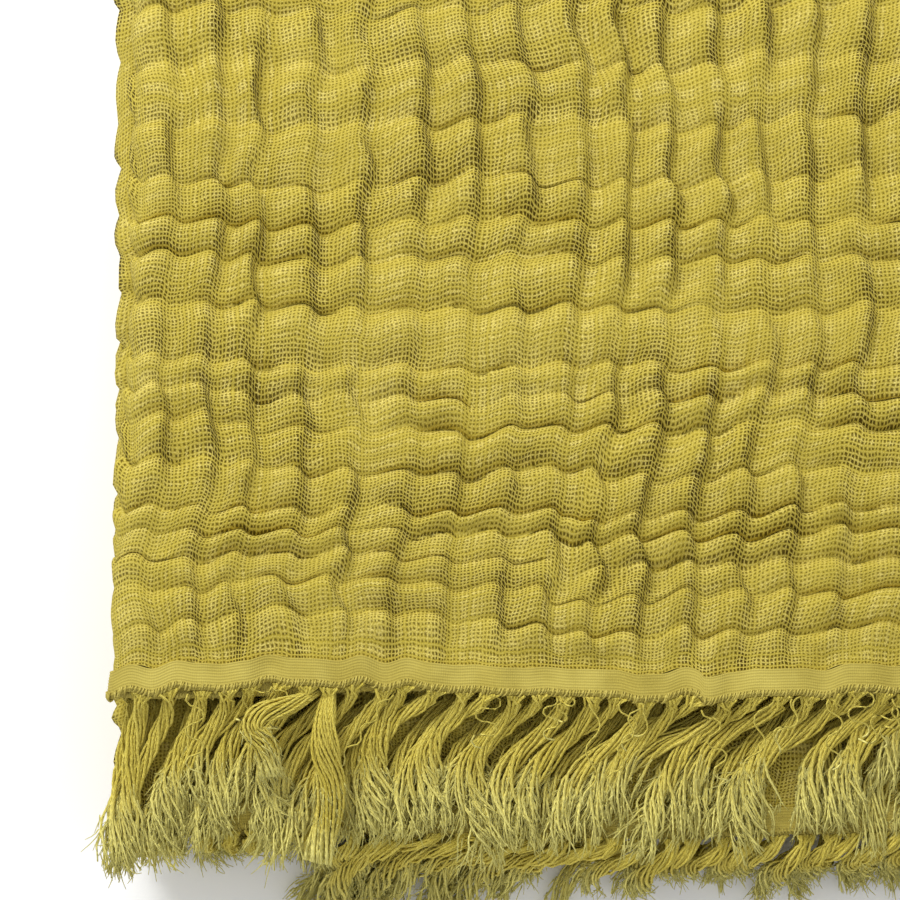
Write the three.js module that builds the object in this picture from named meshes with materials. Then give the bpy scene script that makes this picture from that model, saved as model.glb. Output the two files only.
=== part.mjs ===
// A folded throw blanket of crinkled cotton gauze. The open throw is folded in four across its
// width and in four along its length. Each end has a woven hem band, an overcast edge and a fringe.
//
// Millimetres, +Z up. X runs across the folded throw, with the folded edge at -X. Y runs along it,
// with the fringed ends at -Y and the back fold at +Y. The origin is under the middle of the throw.
//
// Four layers of cloth make one leaf, and four leaves make the stack. From the top they are the
// top panel, the upper inner panel, the lower inner panel and the bottom panel.

import * as THREE from 'three';
import { mergeVertices } from 'three/addons/utils/BufferGeometryUtils.js';

// The open throw, without its fringe.
const clothWidth = 1300;
const clothLength = 1700;

// One layer of crinkled cloth, and the clearance that neighbouring pieces keep.
const layer = 3.2;
const gap = 0.3;

// How far the lower hem reaches past the front fold under it.
const lowerHemReach = 7;

// The woven hem band and the overcast edge beyond it.
const hemBandLength = 7;
const hemBandThickness = 2;
const overcastLength = 1.6;
const overcastThickness = 2.4;

// The fringe: locks a row, and the size of one lock.
const locksPerRow = 20;
const lockRootThickness = 8;
const lockTipThickness = 5.4;
const topFringeReach = 50;
const lowerFringeReach = 33;
const lowerTipHeight = 3.3;
const fringeSweep = 20;
const lockSpacing = 1.6;

// The top panel is laid a little askew: inset from the layers below it, then out past them at the hem.
const topPanelInset = 5;
const hemOverhang = 2;
const slantLength = 110;

// How finely round shapes are cut.
const bendSides = 6;
const foldSides = 8;
const lockSides = 8;
const lockSteps = 4;
const slantSteps = 6;

// Worked out from the sizes above. A leaf is four layers thick.
const leaf = 4 * layer;
const stackHeight = 4 * leaf;
const outerBend = 1.5 * layer;
const innerBend = 0.5 * layer;
const run = (clothWidth - Math.PI * (outerBend + 2 * innerBend)) / 4;
const leftEdge = -outerBend - (layer - gap) / 2;
const rightEdge = run + innerBend + (layer - gap) / 2;

// Fold radii at the middle of a leaf, and the lengths of the two upper panels. The inner fold uses
// less cloth than the outer one round it, so the lower hem comes out further than the top hem.
const tightFold = leaf / 2;
const wideFold = 1.5 * leaf;
const halfLength = (clothLength - Math.PI * tightFold) / 2;
const frontFoldDepth = tightFold + leaf / 2;
const lowerPanelLength = (halfLength - Math.PI * tightFold - frontFoldDepth - lowerHemReach) / 2;
const upperInnerLength = halfLength - Math.PI * tightFold - lowerPanelLength;
const topPanelLength = halfLength - Math.PI * wideFold - lowerPanelLength;

// Heights of the middles of the four leaves, and how far the lower fringe hangs down from its own.
const middleOf = {
  bottom: 0.5 * leaf,
  lowerInner: 1.5 * leaf,
  upperInner: 2.5 * leaf,
  top: 3.5 * leaf,
};
const lowerFringeDrop = middleOf.upperInner - lockTipThickness / 2 - lowerTipHeight;

const gauze = { color: 0xb9ad49, roughness: 0.95, metalness: 0 };
const hemCloth = { color: 0xbcb057, roughness: 0.9, metalness: 0 };
const yarn = { color: 0xc9bb66, roughness: 0.95, metalness: 0 };

// Points along the middle of the folded cloth, with the sideways direction at each.
function bend(centreX, centreN, radius, from, to) {
  const points = [];
  const side = to > from ? -1 : 1;
  for (let i = 0; i <= bendSides; i += 1) {
    const angle = from + ((to - from) * i) / bendSides;
    const out = new THREE.Vector2(Math.cos(angle), Math.sin(angle));
    const at = out.clone().multiplyScalar(radius).add(new THREE.Vector2(centreX, centreN));
    points.push({ at, sideways: out.multiplyScalar(side) });
  }
  return points;
}

function selvedge(height, direction) {
  return { at: new THREE.Vector2(run, height), sideways: new THREE.Vector2(0, direction) };
}

// The cloth's path through one leaf: across the top, round the left fold, back along the bottom,
// round the right fold and twice more across, inside the first two layers.
function clothPath() {
  const quarter = Math.PI / 2;
  return [
    selvedge(outerBend, -1),
    ...bend(0, 0, outerBend, quarter, 3 * quarter),
    ...bend(run, -layer, innerBend, -quarter, quarter),
    ...bend(0, 0, innerBend, 3 * quarter, quarter),
    selvedge(innerBend, 1),
  ];
}

// The outline of one leaf, seen from its end, for cloth of this thickness.
function leafOutline(thickness) {
  const path = clothPath();
  const shifted = (p, by) => p.at.clone().addScaledVector(p.sideways, by);
  const oneSide = path.map((p) => shifted(p, thickness / 2));
  const otherSide = path.map((p) => shifted(p, -thickness / 2)).reverse();
  return new THREE.Shape([...oneSide, ...otherSide]);
}

// Moves every point of a straight extrusion to where place() puts it, and keeps its faces outward.
function shaped(geometry, place) {
  geometry.deleteAttribute('normal');
  geometry.deleteAttribute('uv');
  const merged = mergeVertices(geometry, 1e-5);
  const position = merged.getAttribute('position');
  const point = new THREE.Vector3();
  for (let i = 0; i < position.count; i += 1) {
    point.fromBufferAttribute(position, i);
    const moved = place(point.x, point.y, point.z);
    position.setXYZ(i, moved.x, moved.y, moved.z);
  }
  if (signedVolume(merged) < 0) turnFaces(merged);
  merged.computeVertexNormals();
  return merged;
}

function signedVolume(geometry) {
  const position = geometry.getAttribute('position');
  const index = geometry.index.array;
  const corner = (k) => new THREE.Vector3().fromBufferAttribute(position, index[k]);
  let total = 0;
  for (let k = 0; k < index.length; k += 3) {
    total += corner(k).dot(corner(k + 1).cross(corner(k + 2))) / 6;
  }
  return total;
}

function turnFaces(geometry) {
  const index = geometry.index.array;
  for (let k = 0; k < index.length; k += 3) {
    const kept = index[k];
    index[k] = index[k + 1];
    index[k + 1] = kept;
  }
}

const group = new THREE.Group();

function add(name, geometry, finish) {
  const mesh = new THREE.Mesh(geometry, new THREE.MeshStandardMaterial(finish));
  mesh.name = name;
  group.add(mesh);
}

// A run of leaf from s = 0 to s = 1, placed by place(x, n, s), where n is the height in the leaf.
function addLeaf(name, thickness, steps, place, finish) {
  const outline = leafOutline(thickness);
  const straight = new THREE.ExtrudeGeometry(outline, { depth: 1, steps, bevelEnabled: false });
  add(name, shaped(straight, place), finish);
}

// How far the top panel lies to the right at a distance behind its hem.
function topPanelShift(behindHem) {
  const share = THREE.MathUtils.smoothstep(behindHem, 0, slantLength);
  return THREE.MathUtils.lerp(-hemOverhang, topPanelInset, share);
}

const unshifted = () => 0;

// A flat run of leaf between two places along the throw. up is 1 where the throw's face is on top.
function flatRun(from, to, middle, up, shift = unshifted) {
  return (x, n, s) => {
    const y = THREE.MathUtils.lerp(from, to, s);
    return new THREE.Vector3(x + shift(y), y, middle + up * n);
  };
}

// Half a turn of leaf. towards is 1 for a fold at the back. outward is 1 where the throw's face is
// on the outside of the fold.
function halfTurn(y, z, radius, towards, outward, shift = unshifted) {
  return (x, n, s) => {
    const angle = Math.PI * (s - 0.5);
    const reach = radius + outward * n;
    const across = y + towards * (gap / 2 + reach * Math.cos(angle));
    return new THREE.Vector3(x + shift(s), across, z + reach * Math.sin(angle));
  };
}

// The two lower panels and the folds.
function addLowerLeaves() {
  const thickness = layer - gap;
  const front = -lowerPanelLength + gap / 2;
  const back = -gap / 2;
  addLeaf('bottom_panel', thickness, 1, flatRun(front, back, middleOf.bottom, -1), gauze);
  addLeaf('lower_inner_panel', thickness, 1, flatRun(front, back, middleOf.lowerInner, 1), gauze);
  const frontFold = halfTurn(-lowerPanelLength, leaf, tightFold, -1, 1);
  addLeaf('front_fold', thickness, foldSides, frontFold, gauze);
  const innerFold = halfTurn(0, stackHeight / 2, tightFold, 1, -1);
  addLeaf('back_inner_fold', thickness, foldSides, innerFold, gauze);
  const outerShift = (s) => topPanelInset * THREE.MathUtils.smoothstep(s, 0, 1);
  const outerFold = halfTurn(0, stackHeight / 2, wideFold, 1, 1, outerShift);
  addLeaf('back_outer_fold', thickness, foldSides, outerFold, gauze);
}

// One upper panel with its hem band and overcast edge, which follow all four layers of the leaf.
function addUpperLeaf(names, length, middle, up, shift) {
  const edge = -length;
  const bandFront = edge + overcastLength;
  const bandBack = bandFront + hemBandLength;
  const part = (from, to) => flatRun(from + gap / 2, to - gap / 2, middle, up, shift);
  const steps = shift ? slantSteps : 1;
  addLeaf(names.panel, layer - gap, steps, part(bandBack, 0), gauze);
  addLeaf(names.band, hemBandThickness, 1, part(bandFront, bandBack), hemCloth);
  addLeaf(names.edge, overcastThickness, 1, part(edge, bandFront), hemCloth);
}

// A rounded section of width 1 and height 1, for a lock of fringe.
function lockSection() {
  const points = [];
  for (let i = 0; i < lockSides; i += 1) {
    const angle = (2 * Math.PI * (i + 0.5)) / lockSides;
    points.push(new THREE.Vector2(Math.cos(angle) / 2, Math.sin(angle) / 2));
  }
  return new THREE.Shape(points);
}

// One lock of loose yarns, thick at its root and thin at its tip, along a curve.
function addLock(name, path, rootWidth) {
  const straight = new THREE.ExtrudeGeometry(lockSection(), {
    depth: 1,
    steps: lockSteps,
    bevelEnabled: false,
  });
  const place = (across, up, s) => {
    const at = path(s);
    const width = rootWidth * THREE.MathUtils.lerp(1, 0.7, s * s);
    const thickness = THREE.MathUtils.lerp(lockRootThickness, lockTipThickness, s);
    return new THREE.Vector3(at.x + across * width, at.y, at.z + up * thickness);
  };
  add(name, shaped(straight, place), yarn);
}

// Locks differ a little in length, in a pattern that doesn't repeat along the row.
function lengthShare(i) {
  return 0.93 + 0.07 * Math.sin(2.4 * i + 1);
}

function addFringe(prefix, hemEdge, shift, pathFrom) {
  const pitch = (rightEdge - leftEdge) / locksPerRow;
  for (let i = 0; i < locksPerRow; i += 1) {
    const x = leftEdge + pitch * (i + 0.5) + shift;
    const root = new THREE.Vector2(x, hemEdge - gap);
    const number = String(i + 1).padStart(2, '0');
    addLock(`${prefix}_${number}`, pathFrom(root, lengthShare(i)), pitch - lockSpacing);
  }
}

// The top fringe lies on the upper inner panel and just past its hem.
function topLockPath(root, share) {
  const rootHeight = middleOf.top + 0.5;
  const tipHeight = 3 * leaf + gap + lockTipThickness / 2;
  return (s) => {
    const height = THREE.MathUtils.lerp(rootHeight, tipHeight, THREE.MathUtils.smoothstep(s, 0, 0.8));
    const x = root.x - fringeSweep * s * s;
    return new THREE.Vector3(x, root.y - topFringeReach * share * s, height);
  };
}

// The lower fringe hangs past the front fold, down to what the throw lies on.
function lowerLockPath(root, share) {
  return (s) => {
    const x = root.x - fringeSweep * s * s;
    const y = root.y - lowerFringeReach * share * s;
    return new THREE.Vector3(x, y, middleOf.upperInner - lowerFringeDrop * share * s);
  };
}

addLowerLeaves();
addUpperLeaf(
  { panel: 'upper_inner_panel', band: 'lower_hem_band', edge: 'lower_overcast_edge' },
  upperInnerLength,
  middleOf.upperInner,
  -1,
);
addUpperLeaf(
  { panel: 'top_panel', band: 'top_hem_band', edge: 'top_overcast_edge' },
  topPanelLength,
  middleOf.top,
  1,
  (y) => topPanelShift(y + topPanelLength),
);
addFringe('top_fringe', -topPanelLength, topPanelShift(0), topLockPath);
addFringe('lower_fringe', -upperInnerLength, 0, lowerLockPath);

// The origin goes to the middle of the underside.
group.updateMatrixWorld(true);
const box = new THREE.Box3().setFromObject(group, true);
group.position.set(-(box.min.x + box.max.x) / 2, -(box.min.y + box.max.y) / 2, -box.min.z);
group.updateMatrixWorld(true);

export default group;
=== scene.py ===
# %% [markdown]
# # A folded throw blanket in crinkled gauze
# The throw is one long cloth, folded in four across its width and in four along its length.
# Two short hems are bound, whipped over and fringed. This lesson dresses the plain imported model:
# every cell makes one thing, prints what it made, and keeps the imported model's places and sizes.

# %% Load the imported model
import math

import bpy
import numpy as np
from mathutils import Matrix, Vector


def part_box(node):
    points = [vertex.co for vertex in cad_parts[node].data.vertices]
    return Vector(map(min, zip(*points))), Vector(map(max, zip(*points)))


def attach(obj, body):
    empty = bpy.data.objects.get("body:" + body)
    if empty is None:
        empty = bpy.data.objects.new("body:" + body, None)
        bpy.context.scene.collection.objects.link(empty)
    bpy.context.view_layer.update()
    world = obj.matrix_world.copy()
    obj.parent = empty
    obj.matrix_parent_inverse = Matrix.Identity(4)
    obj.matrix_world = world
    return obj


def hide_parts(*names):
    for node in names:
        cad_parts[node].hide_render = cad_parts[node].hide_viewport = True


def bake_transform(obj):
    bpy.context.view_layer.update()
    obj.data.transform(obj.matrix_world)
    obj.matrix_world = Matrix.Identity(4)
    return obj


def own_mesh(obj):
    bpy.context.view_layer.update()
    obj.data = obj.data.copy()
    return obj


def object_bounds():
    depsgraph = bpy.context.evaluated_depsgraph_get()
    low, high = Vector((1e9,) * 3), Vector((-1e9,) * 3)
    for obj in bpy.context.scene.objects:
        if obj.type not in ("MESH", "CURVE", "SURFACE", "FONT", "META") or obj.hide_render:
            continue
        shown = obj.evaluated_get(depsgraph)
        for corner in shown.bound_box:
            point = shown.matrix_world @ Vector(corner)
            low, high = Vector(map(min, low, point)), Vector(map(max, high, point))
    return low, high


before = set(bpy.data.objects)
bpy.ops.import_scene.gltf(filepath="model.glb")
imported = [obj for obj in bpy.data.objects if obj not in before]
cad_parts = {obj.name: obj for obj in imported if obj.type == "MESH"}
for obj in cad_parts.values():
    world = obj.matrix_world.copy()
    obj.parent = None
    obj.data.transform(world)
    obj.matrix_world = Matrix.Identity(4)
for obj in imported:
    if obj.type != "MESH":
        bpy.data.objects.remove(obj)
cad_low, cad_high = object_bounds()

MM = 0.001
bpy.ops.object.select_all(action="DESELECT")

# %% [markdown]
# ## The camera
# The view is straight down on the front left corner, with the long side of the throw up the
# picture. A long lens from 1.2 m away keeps the picture flat, so the folds don't lean outwards.

# %% Camera
STAND_OFF = 1.2
VIEW_WIDTH = 0.252
SENSOR = 36.0
VIEW_FROM_LEFT = 96.0
VIEW_ABOVE_HEM = 60.7


def box_mm(node):
    """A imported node's lowest and highest corner in millimetres."""
    low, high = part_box(node)
    return np.array(low) / MM, np.array(high) / MM


hem_low, hem_high = box_mm("top_hem_band")
view_centre = (hem_low[0] + VIEW_FROM_LEFT, hem_high[1] + VIEW_ABOVE_HEM, cad_high[2] / MM)
camera_data = bpy.data.cameras.new("camera")
camera_data.sensor_width = SENSOR
camera_data.lens = SENSOR * STAND_OFF / VIEW_WIDTH
camera_data.clip_start = 0.05
camera = bpy.data.objects.new("camera", camera_data)
camera.location = (view_centre[0] * MM, view_centre[1] * MM, view_centre[2] * MM + STAND_OFF)
bpy.context.collection.objects.link(camera)
bpy.context.scene.camera = camera
print("camera over", [round(c, 1) for c in view_centre])

# %% [markdown]
# ## The lie of the folds
# Every leaf of the folded throw is a ribbon of four layers, and the leaves follow one path along
# the length. All the cloth is then one formula: `ribbon` gives the place across the width and
# `spine` the place along the length. Pieces made from one formula always meet at their seams.

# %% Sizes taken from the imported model
CLEARANCE = 0.15
bottom_low, bottom_high = box_mm("bottom_panel")
inner_low, _ = box_mm("lower_inner_panel")
upper_low, _ = box_mm("upper_inner_panel")
top_low, top_high = box_mm("top_panel")
LEAF = inner_low[2] - bottom_low[2]
LAYER = LEAF / 4
LEFT = bottom_low[0] + 2 * LAYER - CLEARANCE
RIGHT = bottom_high[0] - LAYER + CLEARANCE
RUN = RIGHT - LEFT
BACK = bottom_high[1] + CLEARANCE
FRONT = bottom_low[1] - CLEARANCE
HEM_TOP = top_low[1]
HEM_LOWER = upper_low[1]
MIDDLE = [bottom_low[2] + LEAF * k + 2 * LAYER - CLEARANCE for k in range(4)]
FOLD_HEIGHT = (MIDDLE[1] + MIDDLE[2]) / 2
FRONT_HEIGHT = (MIDDLE[0] + MIDDLE[1]) / 2
TIGHT = LEAF / 2
WIDE = 3 * LEAF / 2
SHIFT_BACK = top_high[0] - bottom_high[0]
SHIFT_HEM = top_low[0] - bottom_low[0]
SLANT = 110.0
print("leaf", round(LEAF, 2), "run", round(RUN, 2), "back line", round(BACK, 2))

# %% The path along the length
LENGTHS = {
    "top": BACK - HEM_TOP,
    "back_outer": math.pi * WIDE,
    "bottom": BACK - FRONT,
    "front": math.pi * TIGHT,
    "lower_inner": BACK - FRONT,
    "back_inner": math.pi * TIGHT,
    "upper_inner": BACK - HEM_LOWER,
}
STARTS = dict(zip(LENGTHS, np.cumsum([0.0] + list(LENGTHS.values())[:-1])))
TOTAL = sum(LENGTHS.values())


def ease(t):
    """From 0 to 1 with a soft start and end."""
    t = np.clip(t, 0.0, 1.0)
    return t * t * (3.0 - 2.0 * t)


def spine(v):
    """The middle of the leaf v mm from the top hem: y, z and the direction that layer 1 faces."""
    y, z, face_y, face_z = (np.zeros_like(v) for _ in range(4))

    def put(name, places):
        start = STARTS[name]
        low = -1e9 if name == "top" else start
        high = 1e9 if name == "upper_inner" else start + LENGTHS[name]
        here = (v >= low) & (v < high)
        d = v[here] - start
        y[here], z[here], face_y[here], face_z[here] = places(d)

    def flat(y_start, step, z_here, facing):
        return lambda d: (y_start + step * d, z_here + 0 * d, 0 * d, facing + 0 * d)

    def bend(y_start, out, z_middle, up, face_out, face_up):
        radius = abs(out)
        return lambda d: (y_start + out * np.sin(d / radius), z_middle + up * np.cos(d / radius),
                          face_out * np.sin(d / radius), face_up * np.cos(d / radius))

    put("top", flat(HEM_TOP, 1, MIDDLE[3], 1))
    put("back_outer", bend(BACK, WIDE, FOLD_HEIGHT, WIDE, 1, 1))
    put("bottom", flat(BACK, -1, MIDDLE[0], -1))
    put("front", bend(FRONT, -TIGHT, FRONT_HEIGHT, -TIGHT, -1, -1))
    put("lower_inner", flat(FRONT, 1, MIDDLE[1], 1))
    put("back_inner", bend(BACK, TIGHT, FOLD_HEIGHT, -TIGHT, -1, 1))
    put("upper_inner", flat(BACK, -1, MIDDLE[2], -1))
    return y, z, face_y, face_z


def sideways(v):
    """How far the top leaf lies off the lower ones, as nobody folds a throw quite square."""
    near_hem = SHIFT_HEM + (SHIFT_BACK - SHIFT_HEM) * ease(v / SLANT)
    round_back = 1 - ease((v - STARTS["back_outer"]) / LENGTHS["back_outer"])
    return np.where(v < STARTS["back_outer"], near_hem, SHIFT_BACK * round_back)


print("length of the folded path", round(TOTAL, 1))

# %% The path across the width
OUTER = 1.85 * LAYER
INNER = 0.6 * LAYER
PRESSED_OUTER = 1.5 * LAYER
PRESSED_INNER = 0.5 * LAYER
EDGE = (OUTER - INNER) / 2
CUTS = np.cumsum([0, RUN, math.pi * OUTER, RUN, math.pi * EDGE, RUN, math.pi * INNER, RUN])
WIDTH = CUTS[-1]
HEM_PRESSES = 14.0
FOLD_PRESSES = 25.0


def half_heights(v):
    """How far layer 1, layer 4 and the two inner layers lie from the middle of the leaf."""
    to_hem = np.minimum(np.abs(v), np.abs(TOTAL - v))
    hem = 1 - ease(to_hem / HEM_PRESSES)
    start = STARTS["back_inner"]
    to_fold = np.maximum(np.maximum(start - v, v - start - LENGTHS["back_inner"]), 0)
    fold = 1 - ease(to_fold / FOLD_PRESSES)
    outer = OUTER + (PRESSED_OUTER - OUTER) * hem
    inner = INNER + (PRESSED_INNER - INNER) * hem
    first = outer + (PRESSED_OUTER - outer) * fold
    return first, outer, inner


def ribbon(u, v):
    """The place u mm across the cloth from layer 1's selvedge: x, height in the leaf, and facing."""
    first, outer, inner = half_heights(v)
    x, n, face_x, face_n = (np.zeros_like(u) for _ in range(4))
    edge = (outer - inner) / 2

    def put(i, places):
        low = -1e9 if i == 0 else CUTS[i]
        high = 1e9 if i == 6 else CUTS[i + 1]
        here = (u >= low) & (u < high)
        d = u[here] - CUTS[i]
        turn = math.pi * d / (CUTS[i + 1] - CUTS[i])
        x[here], n[here], face_x[here], face_n[here] = places(
            d, np.sin(turn), np.cos(turn), first[here], outer[here], inner[here], edge[here])

    put(0, lambda d, s, c, a, o, i, e: (RIGHT - d, a, 0 * d, 1 + 0 * d))
    put(1, lambda d, s, c, a, o, i, e: (LEFT - o * s, (a - o) / 2 + (a + o) / 2 * c, -s, c))
    put(2, lambda d, s, c, a, o, i, e: (LEFT + d, -o, 0 * d, 0 * d - 1))
    put(3, lambda d, s, c, a, o, i, e: (RIGHT + e * s, -(o + i) / 2 - e * c, s, -c))
    put(4, lambda d, s, c, a, o, i, e: (RIGHT - d, -i, 0 * d, 1 + 0 * d))
    put(5, lambda d, s, c, a, o, i, e: (LEFT - i * s, -i * c, s, c))
    put(6, lambda d, s, c, a, o, i, e: (LEFT + d, i, 0 * d, 0 * d - 1))
    return x, n, face_x, face_n


def place(u, v, lift=0.0):
    """Points of the cloth, each lifted off its surface by lift mm, on the side that faces out."""
    y, z, face_y, face_z = spine(v)
    x, n, face_x, face_n = ribbon(u, v)
    height = n + lift * face_n
    return np.stack([x + sideways(v) + lift * face_x, y + height * face_y, z + height * face_z], axis=-1)


print("width of the folded ribbon", round(WIDTH, 1))

# %% [markdown]
# ## The crinkle
# Gauze woven from two kinds of thread draws up when it is washed: soft ridges run along the
# length and cross creases gather them into rows of puckers. The ridges lean to the right and the
# puckers lap backwards over their neighbours. A grid whose lines follow the ridges and creases
# holds those sharp valleys with few faces, where an even grid would blur them.

# %% Ridges and rows
RIDGE = 13.7
ROW = 12.3
ROW_AT_HEM = 9.0
CREST_ACROSS = 0.7
CREST_DOWN = 0.36
RIDGE_HEIGHT = 2.6
ROW_HEIGHT = 2.8
GARLAND = 2.8
GROOVE = 1.4
GROOVE_SHARE = 0.045
HEM_ZONE = 40.0
RIDGE_SCATTER = 0.22
ROW_SCATTER = 0.34
KNOTS = (97, 89)


def spaced(total, pitch, scatter, seed):
    """Boundaries from 0 to total, a pitch apart with a random scatter, the pitch a function."""
    rng = np.random.default_rng(seed)
    places = [0.0]
    while places[-1] < total:
        places.append(places[-1] + pitch(places[-1]) * (1 + scatter * rng.uniform(-1, 1)))
    return np.array(places)


def row_pitch(v):
    """Rows lie closer together beside both hems."""
    to_hem = min(v, TOTAL - v)
    return ROW_AT_HEM if to_hem < HEM_ZONE else ROW


ridges = spaced(WIDTH, lambda u: RIDGE, RIDGE_SCATTER, 11)
rows = spaced(TOTAL, row_pitch, ROW_SCATTER, 5)


def drift(p, q, seed):
    """Smooth random values from -1 to 1, with one knot for each whole p and q."""
    wide, deep = KNOTS
    knots = np.random.default_rng(seed).uniform(-1, 1, KNOTS)
    i = np.floor(p).astype(int)
    j = np.floor(q).astype(int)
    s, t = ease(p - i), ease(q - j)
    near = knots[i % wide, j % deep] * (1 - s) + knots[(i + 1) % wide, j % deep] * s
    far = knots[i % wide, (j + 1) % deep] * (1 - s) + knots[(i + 1) % wide, (j + 1) % deep] * s
    return near * (1 - t) + far * t


def share(value, bounds):
    """Which stretch a value lies in, and its share from the stretch's far end to its near end."""
    i = np.clip(np.searchsorted(bounds, value, side="right") - 1, 0, len(bounds) - 2)
    return i, 1 - (value - bounds[i]) / (bounds[i + 1] - bounds[i])


def ridge_shape(f):
    """A long soft rise to the crest and a shorter fall."""
    rise = 0.5 - 0.5 * np.cos(math.pi * f / CREST_ACROSS)
    fall = 0.5 + 0.5 * np.cos(math.pi * (f - CREST_ACROSS) / (1 - CREST_ACROSS))
    return np.where(f < CREST_ACROSS, rise, fall)


def row_shape(r):
    """A round pucker between two sharp creases, its crest nearer the crease it starts from."""
    rise = np.sin(0.5 * math.pi * np.clip(r / CREST_DOWN, 0, 1)) ** 0.85
    fall = np.cos(0.5 * math.pi * np.clip((r - CREST_DOWN) / (1 - CREST_DOWN), 0, 1)) ** 0.9
    return np.where(r < CREST_DOWN, rise, fall)


print(len(ridges), "ridges and", len(rows), "rows")

# %% Hems that wander
HEM_FADE = 45.0
PLEAT_PLACE = 8.6
PLEAT_DEPTH = 1.4
RIPPLE = 1.3


def hem_wave(u, v):
    """How far a hem swings from straight, fading into the cloth behind it."""
    x = RIGHT - u
    long_wave = 1.3 * np.sin(2 * math.pi * (x + 145) / 160) + 0.9 * np.sin(2 * math.pi * (x + 150) / 290)
    swing = 1.25 * long_wave + 1.1 * drift(u / 6.5, 0 * u, 31)
    pleat = PLEAT_DEPTH * ease((x - PLEAT_PLACE) / 1.6) * (1 - ease((x - 12) / 60))
    top = (swing - pleat) * np.where(u < CUTS[2], 1, 0.5)
    low = 1.3 * np.sin(2 * math.pi * (u + 40) / 190) + 0.5 * drift(u / 14.0, 0 * u, 32)
    near_top = 1 - ease(v / HEM_FADE)
    near_low = 1 - ease((TOTAL - v) / HEM_FADE)
    return top * near_top - low * near_low


def hem_ripple(u):
    """How far a hem band bulges and dips between the ridges that end at it."""
    return RIPPLE * drift(u / 6.5, 0 * u + 3.0, 41) * np.interp(u, CUTS[:4], [1, 1, 1, 0.3])


# %% How freely the crinkle stands
HELD = 0.42


def freedom(u, v):
    """How boldly the crinkle may stand: full where nothing lies on the cloth."""
    rear = STARTS["back_outer"]
    under = rear + LENGTHS["back_outer"]
    front = STARTS["front"]
    front_end = front + LENGTHS["front"]
    places = [0, rear - 8, rear + 8, under, under + 15, front - 12, front, front_end, front_end + 12]
    first = np.interp(v, places, [1, 1, 0.55, 0.55, HELD, HELD, 0.8, 0.8, HELD])
    beyond = np.interp(u, CUTS[:8], [1, 1, HELD, HELD, 0.3, 0.3, 0.25, 0.25])
    bend = np.sin(math.pi * np.clip((u - CUTS[1]) / (CUTS[2] - CUTS[1]), 0, 1))
    side = np.sin(math.pi * np.clip((u - CUTS[3]) / (CUTS[4] - CUTS[3]), 0, 1))
    held = np.where(u < CUTS[1], first, np.minimum(first, beyond))
    return np.maximum(held, 0.8 * np.maximum(bend, side))


# %% The crinkle
FAULT_FROM = (198.8, 29.6)
FAULT_SLOPE = -0.34
FAULT_SHIFT = 3.4


def fault(u, v):
    """Right of one slanting line the rows near the top hem have slipped, as crinkled rows do."""
    past = FAULT_FROM[0] + FAULT_SLOPE * (v - FAULT_FROM[1]) - u
    window = ease((v - 14.0) / 14.0) * (1 - ease((v - 58.0) / 14.0))
    return -FAULT_SHIFT * ease((past + 2.5) / 5.0) * np.exp(-np.clip(past, 0, 1e3) / 90.0) * window


def weave_openness_and_shade(u, v, f, r, bold, crease):
    """How far the weave is stretched, and so how deep its holes' painted shade: most on the ridges' steep
    flanks and the rows' ends.
    """
    flank = ease((f - 0.6) / 0.16) * (1 - ease((f - 0.88) / 0.12))
    row_end = ease((r - 0.4) / 0.5)
    patches = drift(u / 15.0, v / 13.0, 14)
    return np.clip(0.17 + 0.5 * flank * bold + 0.28 * row_end * crease + 0.34 * patches, 0, 1)


def crinkle(u, v):
    """The in-plane shifts, the lift, and the weave's stretch with its painted shade at every point of the
    cloth.
    """
    _, f = share(u + 2.6 * drift(u / 24.0, v / 10.0, 13) * ease(u / 20.0), ridges)
    j, r = share(v + 1.7 * drift(u / 15.0, v / 19.0, 15) * ease(v / 25.0), rows)
    ridge, row = ridge_shape(f), row_shape(r)
    bold = 0.78 + 0.55 * drift(u / 29.0, v / 23.0, 1) + 0.6 * drift(u / 13.0, v / 10.0, 2)
    crease = 0.8 + 0.5 * drift(u / 38.0, j * 1.7, 3) + 0.75 * drift(u / 13.0, j * 1.3, 4)
    row_strength = (0.74 + 0.26 * ease(v / 60.0)) * (1 - 0.38 * ease((v - 90.0) / 130.0))
    ridge_strength = 1 - 0.25 * (1 - ease(v / 30.0)) + 0.3 * ease((v - 80.0) / 100.0)
    bold = np.clip(bold, 0.1, 1.5) * ridge_strength
    crease = np.clip(crease, 0.08, 1.45) * row_strength
    inside = ease(v / 9.0) * ease((TOTAL - v) / 9.0)
    from_edge = ease(u / 12.0) * ease((WIDTH - u) / 12.0)
    across = -0.5 * ridge * bold + 2.6 * drift(u / 55.0, v / 26.0, 6)
    across += 0.9 * drift(u / 13.0, v / 10.0, 7)
    garland = ridge * (0.6 + 0.4 * bold)
    along = GARLAND * (garland - 0.45) + 1.5 * row * crease
    along += 2.4 * drift(u / 45.0, v / 50.0, 8) + 0.8 * drift(u / 12.0, v / 14.0, 9) + fault(u, v)
    lift = RIDGE_HEIGHT * (ridge - 0.5) * bold * (0.5 + 0.6 * row) + ROW_HEIGHT * (row - 0.5) * crease
    lift -= GROOVE * crease * np.exp(-np.minimum(r, 1 - r) / GROOVE_SHARE)
    lift += 0.55 * drift(u / 7.0, v / 6.0, 10) + 0.8 * drift(u / 33.0, v / 31.0, 12)
    amount = freedom(u, v)
    lift = lift * amount - 0.55 * (1 - ease((amount - 0.4) / 0.4))
    dv = along * inside + hem_wave(u, v)
    lift = lift * inside + (hem_ripple(u) - 0.3) * (1 - inside)
    return across * from_edge, dv, lift, weave_openness_and_shade(u, v, f, r, bold, crease)


# %% The finished surface
ON_FLOOR = 0.1


def cloth(u, v):
    """The finished surface, with the weave's stretch and the depth of its painted shade."""
    du, dv, lift, openness_and_shade = crinkle(u, v)
    points = place(u + du, v + dv, lift)
    points[..., 2] = np.maximum(points[..., 2], ON_FLOOR)
    return points, openness_and_shade


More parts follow.
